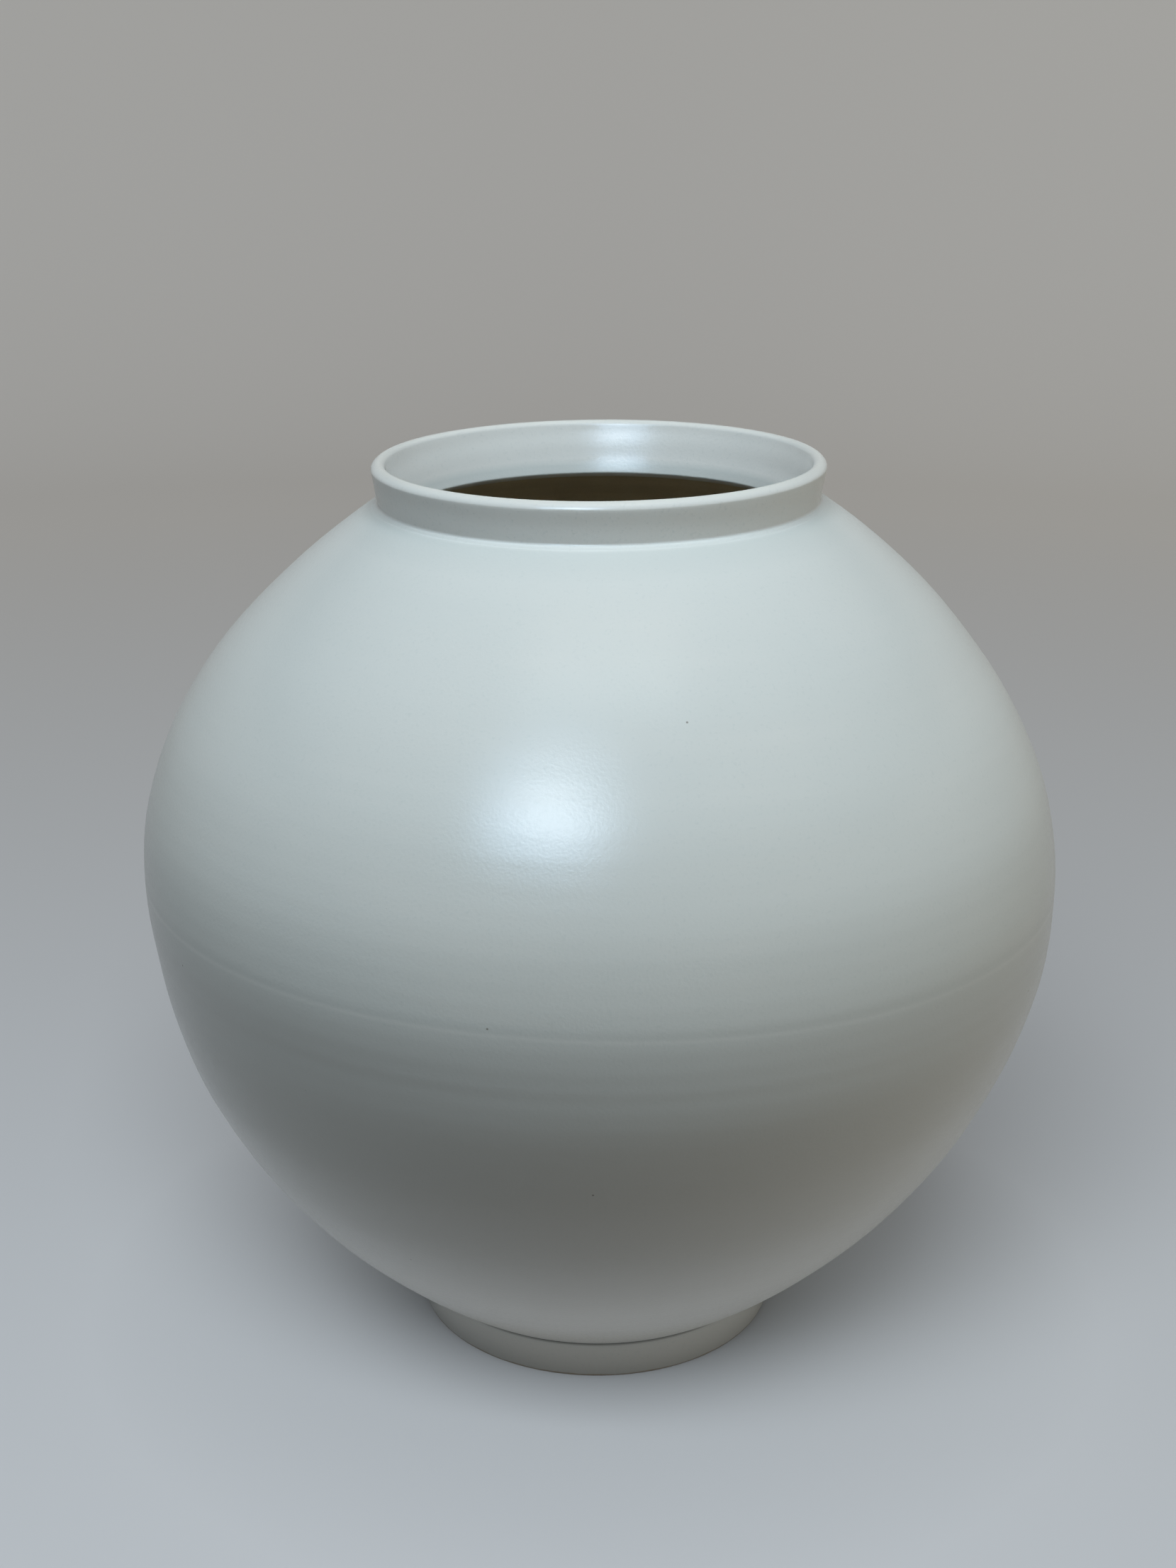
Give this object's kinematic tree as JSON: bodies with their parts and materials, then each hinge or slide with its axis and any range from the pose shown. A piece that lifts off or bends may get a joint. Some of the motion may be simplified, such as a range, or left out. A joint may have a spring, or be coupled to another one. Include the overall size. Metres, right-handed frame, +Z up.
{
  "type": "moon jar",
  "caption": "Round white moon jar: thrown bowls luted at the belly, a low flaring collar with a rounded lip and a foot ring, under a satin ivory glaze.",
  "frame": {"origin": "on the jar's axis, at the level of the surface that the foot ring stands on", "axes": "+Z up along the jar's axis; the jar is round, so X and Y are free"},
  "size_m": [0.4, 0.4, 0.3974],
  "materials": {
    "glaze": "satin ivory-white glaze with a fine grain",
    "slip": "fired slip under the same glaze"
  },
  "bodies": {
    "root": {"foot_ring": "glaze", "foot_slip": "slip", "lower_bowl": "glaze", "belly_slip": "slip", "upper_bowl": "glaze", "neck_slip": "slip", "neck_collar": "glaze"}
  },
  "joints": []
}
